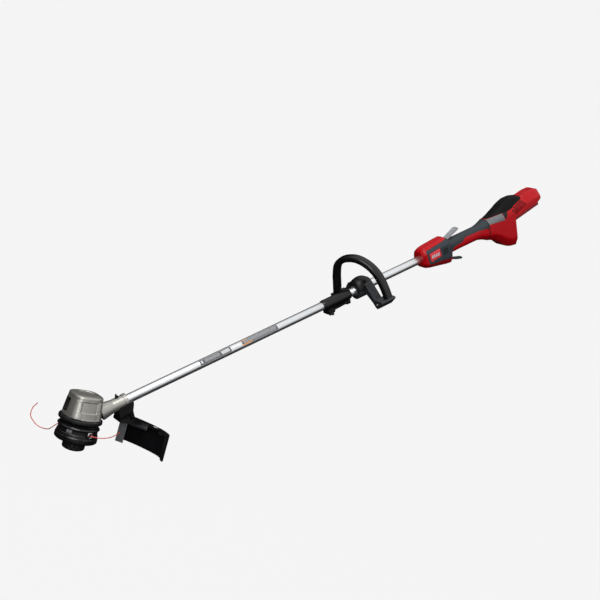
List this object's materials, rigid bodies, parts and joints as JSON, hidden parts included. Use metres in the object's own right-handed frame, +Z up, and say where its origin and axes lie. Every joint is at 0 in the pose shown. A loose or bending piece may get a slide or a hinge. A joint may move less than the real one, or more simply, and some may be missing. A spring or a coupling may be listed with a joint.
{
  "type": "string trimmer",
  "caption": "Cordless string trimmer: round line head under a cast motor housing, split boom with loop handle, rear grip with trigger and open battery bay.",
  "frame": {"origin": "centre of the bump knob's flat bottom, on the spool axis", "axes": "+Z up along the spool axis, +X along the ground from the head towards the operator, +Y to the operator's right"},
  "size_m": [1.5664, 0.2307, 1.0306],
  "materials": {
    "cast_metal": "fine cast, warm grey paint",
    "boom_tube": "bright satin anodised",
    "black_plastic": "fine satin texture",
    "gloss_black": "glossy moulded",
    "charcoal_grip": "soft overmould",
    "red_shell": "semi-gloss moulded",
    "steel": "plain",
    "copper": "enamelled copper wire",
    "grey_panel": "satin",
    "line": "translucent nylon",
    "board": "solder mask"
  },
  "bodies": {
    "boom": {"lower_shaft": "boom_tube", "upper_shaft": "boom_tube", "lower_harness": "black_plastic", "upper_harness": "black_plastic", "coupler_sleeve": "gloss_black", "neck_screw": "black_plastic", "motor_housing": "cast_metal", "vent_grille": "black_plastic", "motor_base": "black_plastic", "lower_bearing": "steel", "upper_bearing": "steel", "stator_core": "steel", "stator_windings": "copper", "guard_bracket": "black_plastic", "guard": "black_plastic", "cutter_blade": "steel", "blade_screw": "steel", "guard_screw_left": "steel", "guard_screw_right": "steel", "snap_spring": "steel", "front_shell_left": "red_shell", "front_shell_right": "red_shell", "grip_overmold_left": "charcoal_grip", "grip_overmold_right": "charcoal_grip", "lever_pin": "steel", "trigger_pin": "steel", "power_switch": "black_plastic", "rear_shell_left": "red_shell", "rear_shell_right": "red_shell", "side_panel_left": "grey_panel", "side_panel_right": "grey_panel", "top_cover": "black_plastic", "terminal_block": "black_plastic", "controller_board": "board"},
    "spool_head": {"spool_housing": "black_plastic", "spool_cover": "black_plastic", "drive_nut": "steel", "motor_spindle": "steel", "rotor_core": "steel", "cooling_fan": "black_plastic", "eyelet_left": "steel", "eyelet_right": "steel", "cutting_line_left": "line", "cutting_line_right": "line"},
    "bump": {"bump_knob": "black_plastic", "bump_spring": "steel"},
    "spool": {"line_spool": "charcoal_grip", "wound_line": "line"},
    "lever": {"lockout_lever": "grey_panel"},
    "trigger": {"trigger": "charcoal_grip"},
    "coupler_knob": {"coupler_knob": "black_plastic"},
    "snap_button": {"snap_button": "steel"},
    "handle_carriage": {"clamp_liner": "grey_panel"},
    "handle": {"handle_base": "black_plastic", "handle_cap": "black_plastic", "clamp_bolt_left": "steel", "clamp_bolt_right": "steel", "handle_loop": "gloss_black", "handle_screw_left": "steel", "handle_screw_right": "steel"}
  },
  "joints": [
    {"name": "head_spin", "type": "hinge", "parent": "boom", "child": "spool_head", "pos_m": [0, 0, 0.055], "axis": [0, 0, 1], "continuous": true},
    {"name": "bump_press", "type": "slide", "parent": "spool_head", "child": "bump", "axis": [0, 0, 1], "range_m": [0, 0.006], "stiffness_N_per_m": 1500, "springref_m": -0.008, "deforming": ["bump_spring"]},
    {"name": "spool_index", "type": "hinge", "parent": "bump", "child": "spool", "pos_m": [0, 0, 0.046], "axis": [0, 0, 1], "continuous": true},
    {"name": "lever_press", "type": "hinge", "parent": "boom", "child": "lever", "pos_m": [1.08296, 0, 0.77701], "axis": [0, 1, 0], "range_deg": [0, 11], "stiffness_Nm_per_rad": 0.5, "springref_deg": -11.46},
    {"name": "trigger_squeeze", "type": "hinge", "parent": "boom", "child": "trigger", "pos_m": [1.11921, 0, 0.72655], "axis": [0, -1, 0], "range_deg": [0, 12], "stiffness_Nm_per_rad": 0.6, "springref_deg": -11.46},
    {"name": "coupler_knob_turn", "type": "hinge", "parent": "boom", "child": "coupler_knob", "pos_m": [0.70027, -0.014, 0.48364], "axis": [0, -1, 0], "continuous": true},
    {"name": "snap_button_press", "type": "slide", "parent": "boom", "child": "snap_button", "axis": [0, 1, 0], "range_m": [0, 0.003], "stiffness_N_per_m": 800, "springref_m": -0.003, "deforming": ["snap_spring"]},
    {"name": "handle_slide", "type": "slide", "parent": "boom", "child": "handle_carriage", "axis": [0.848, 0, 0.5299], "range_m": [0, 0.15]},
    {"name": "handle_swivel", "type": "hinge", "parent": "handle_carriage", "child": "handle", "pos_m": [0.80056, 0, 0.57224], "axis": [0.848, 0, 0.5299], "range_deg": [-20, 20]}
  ]
}
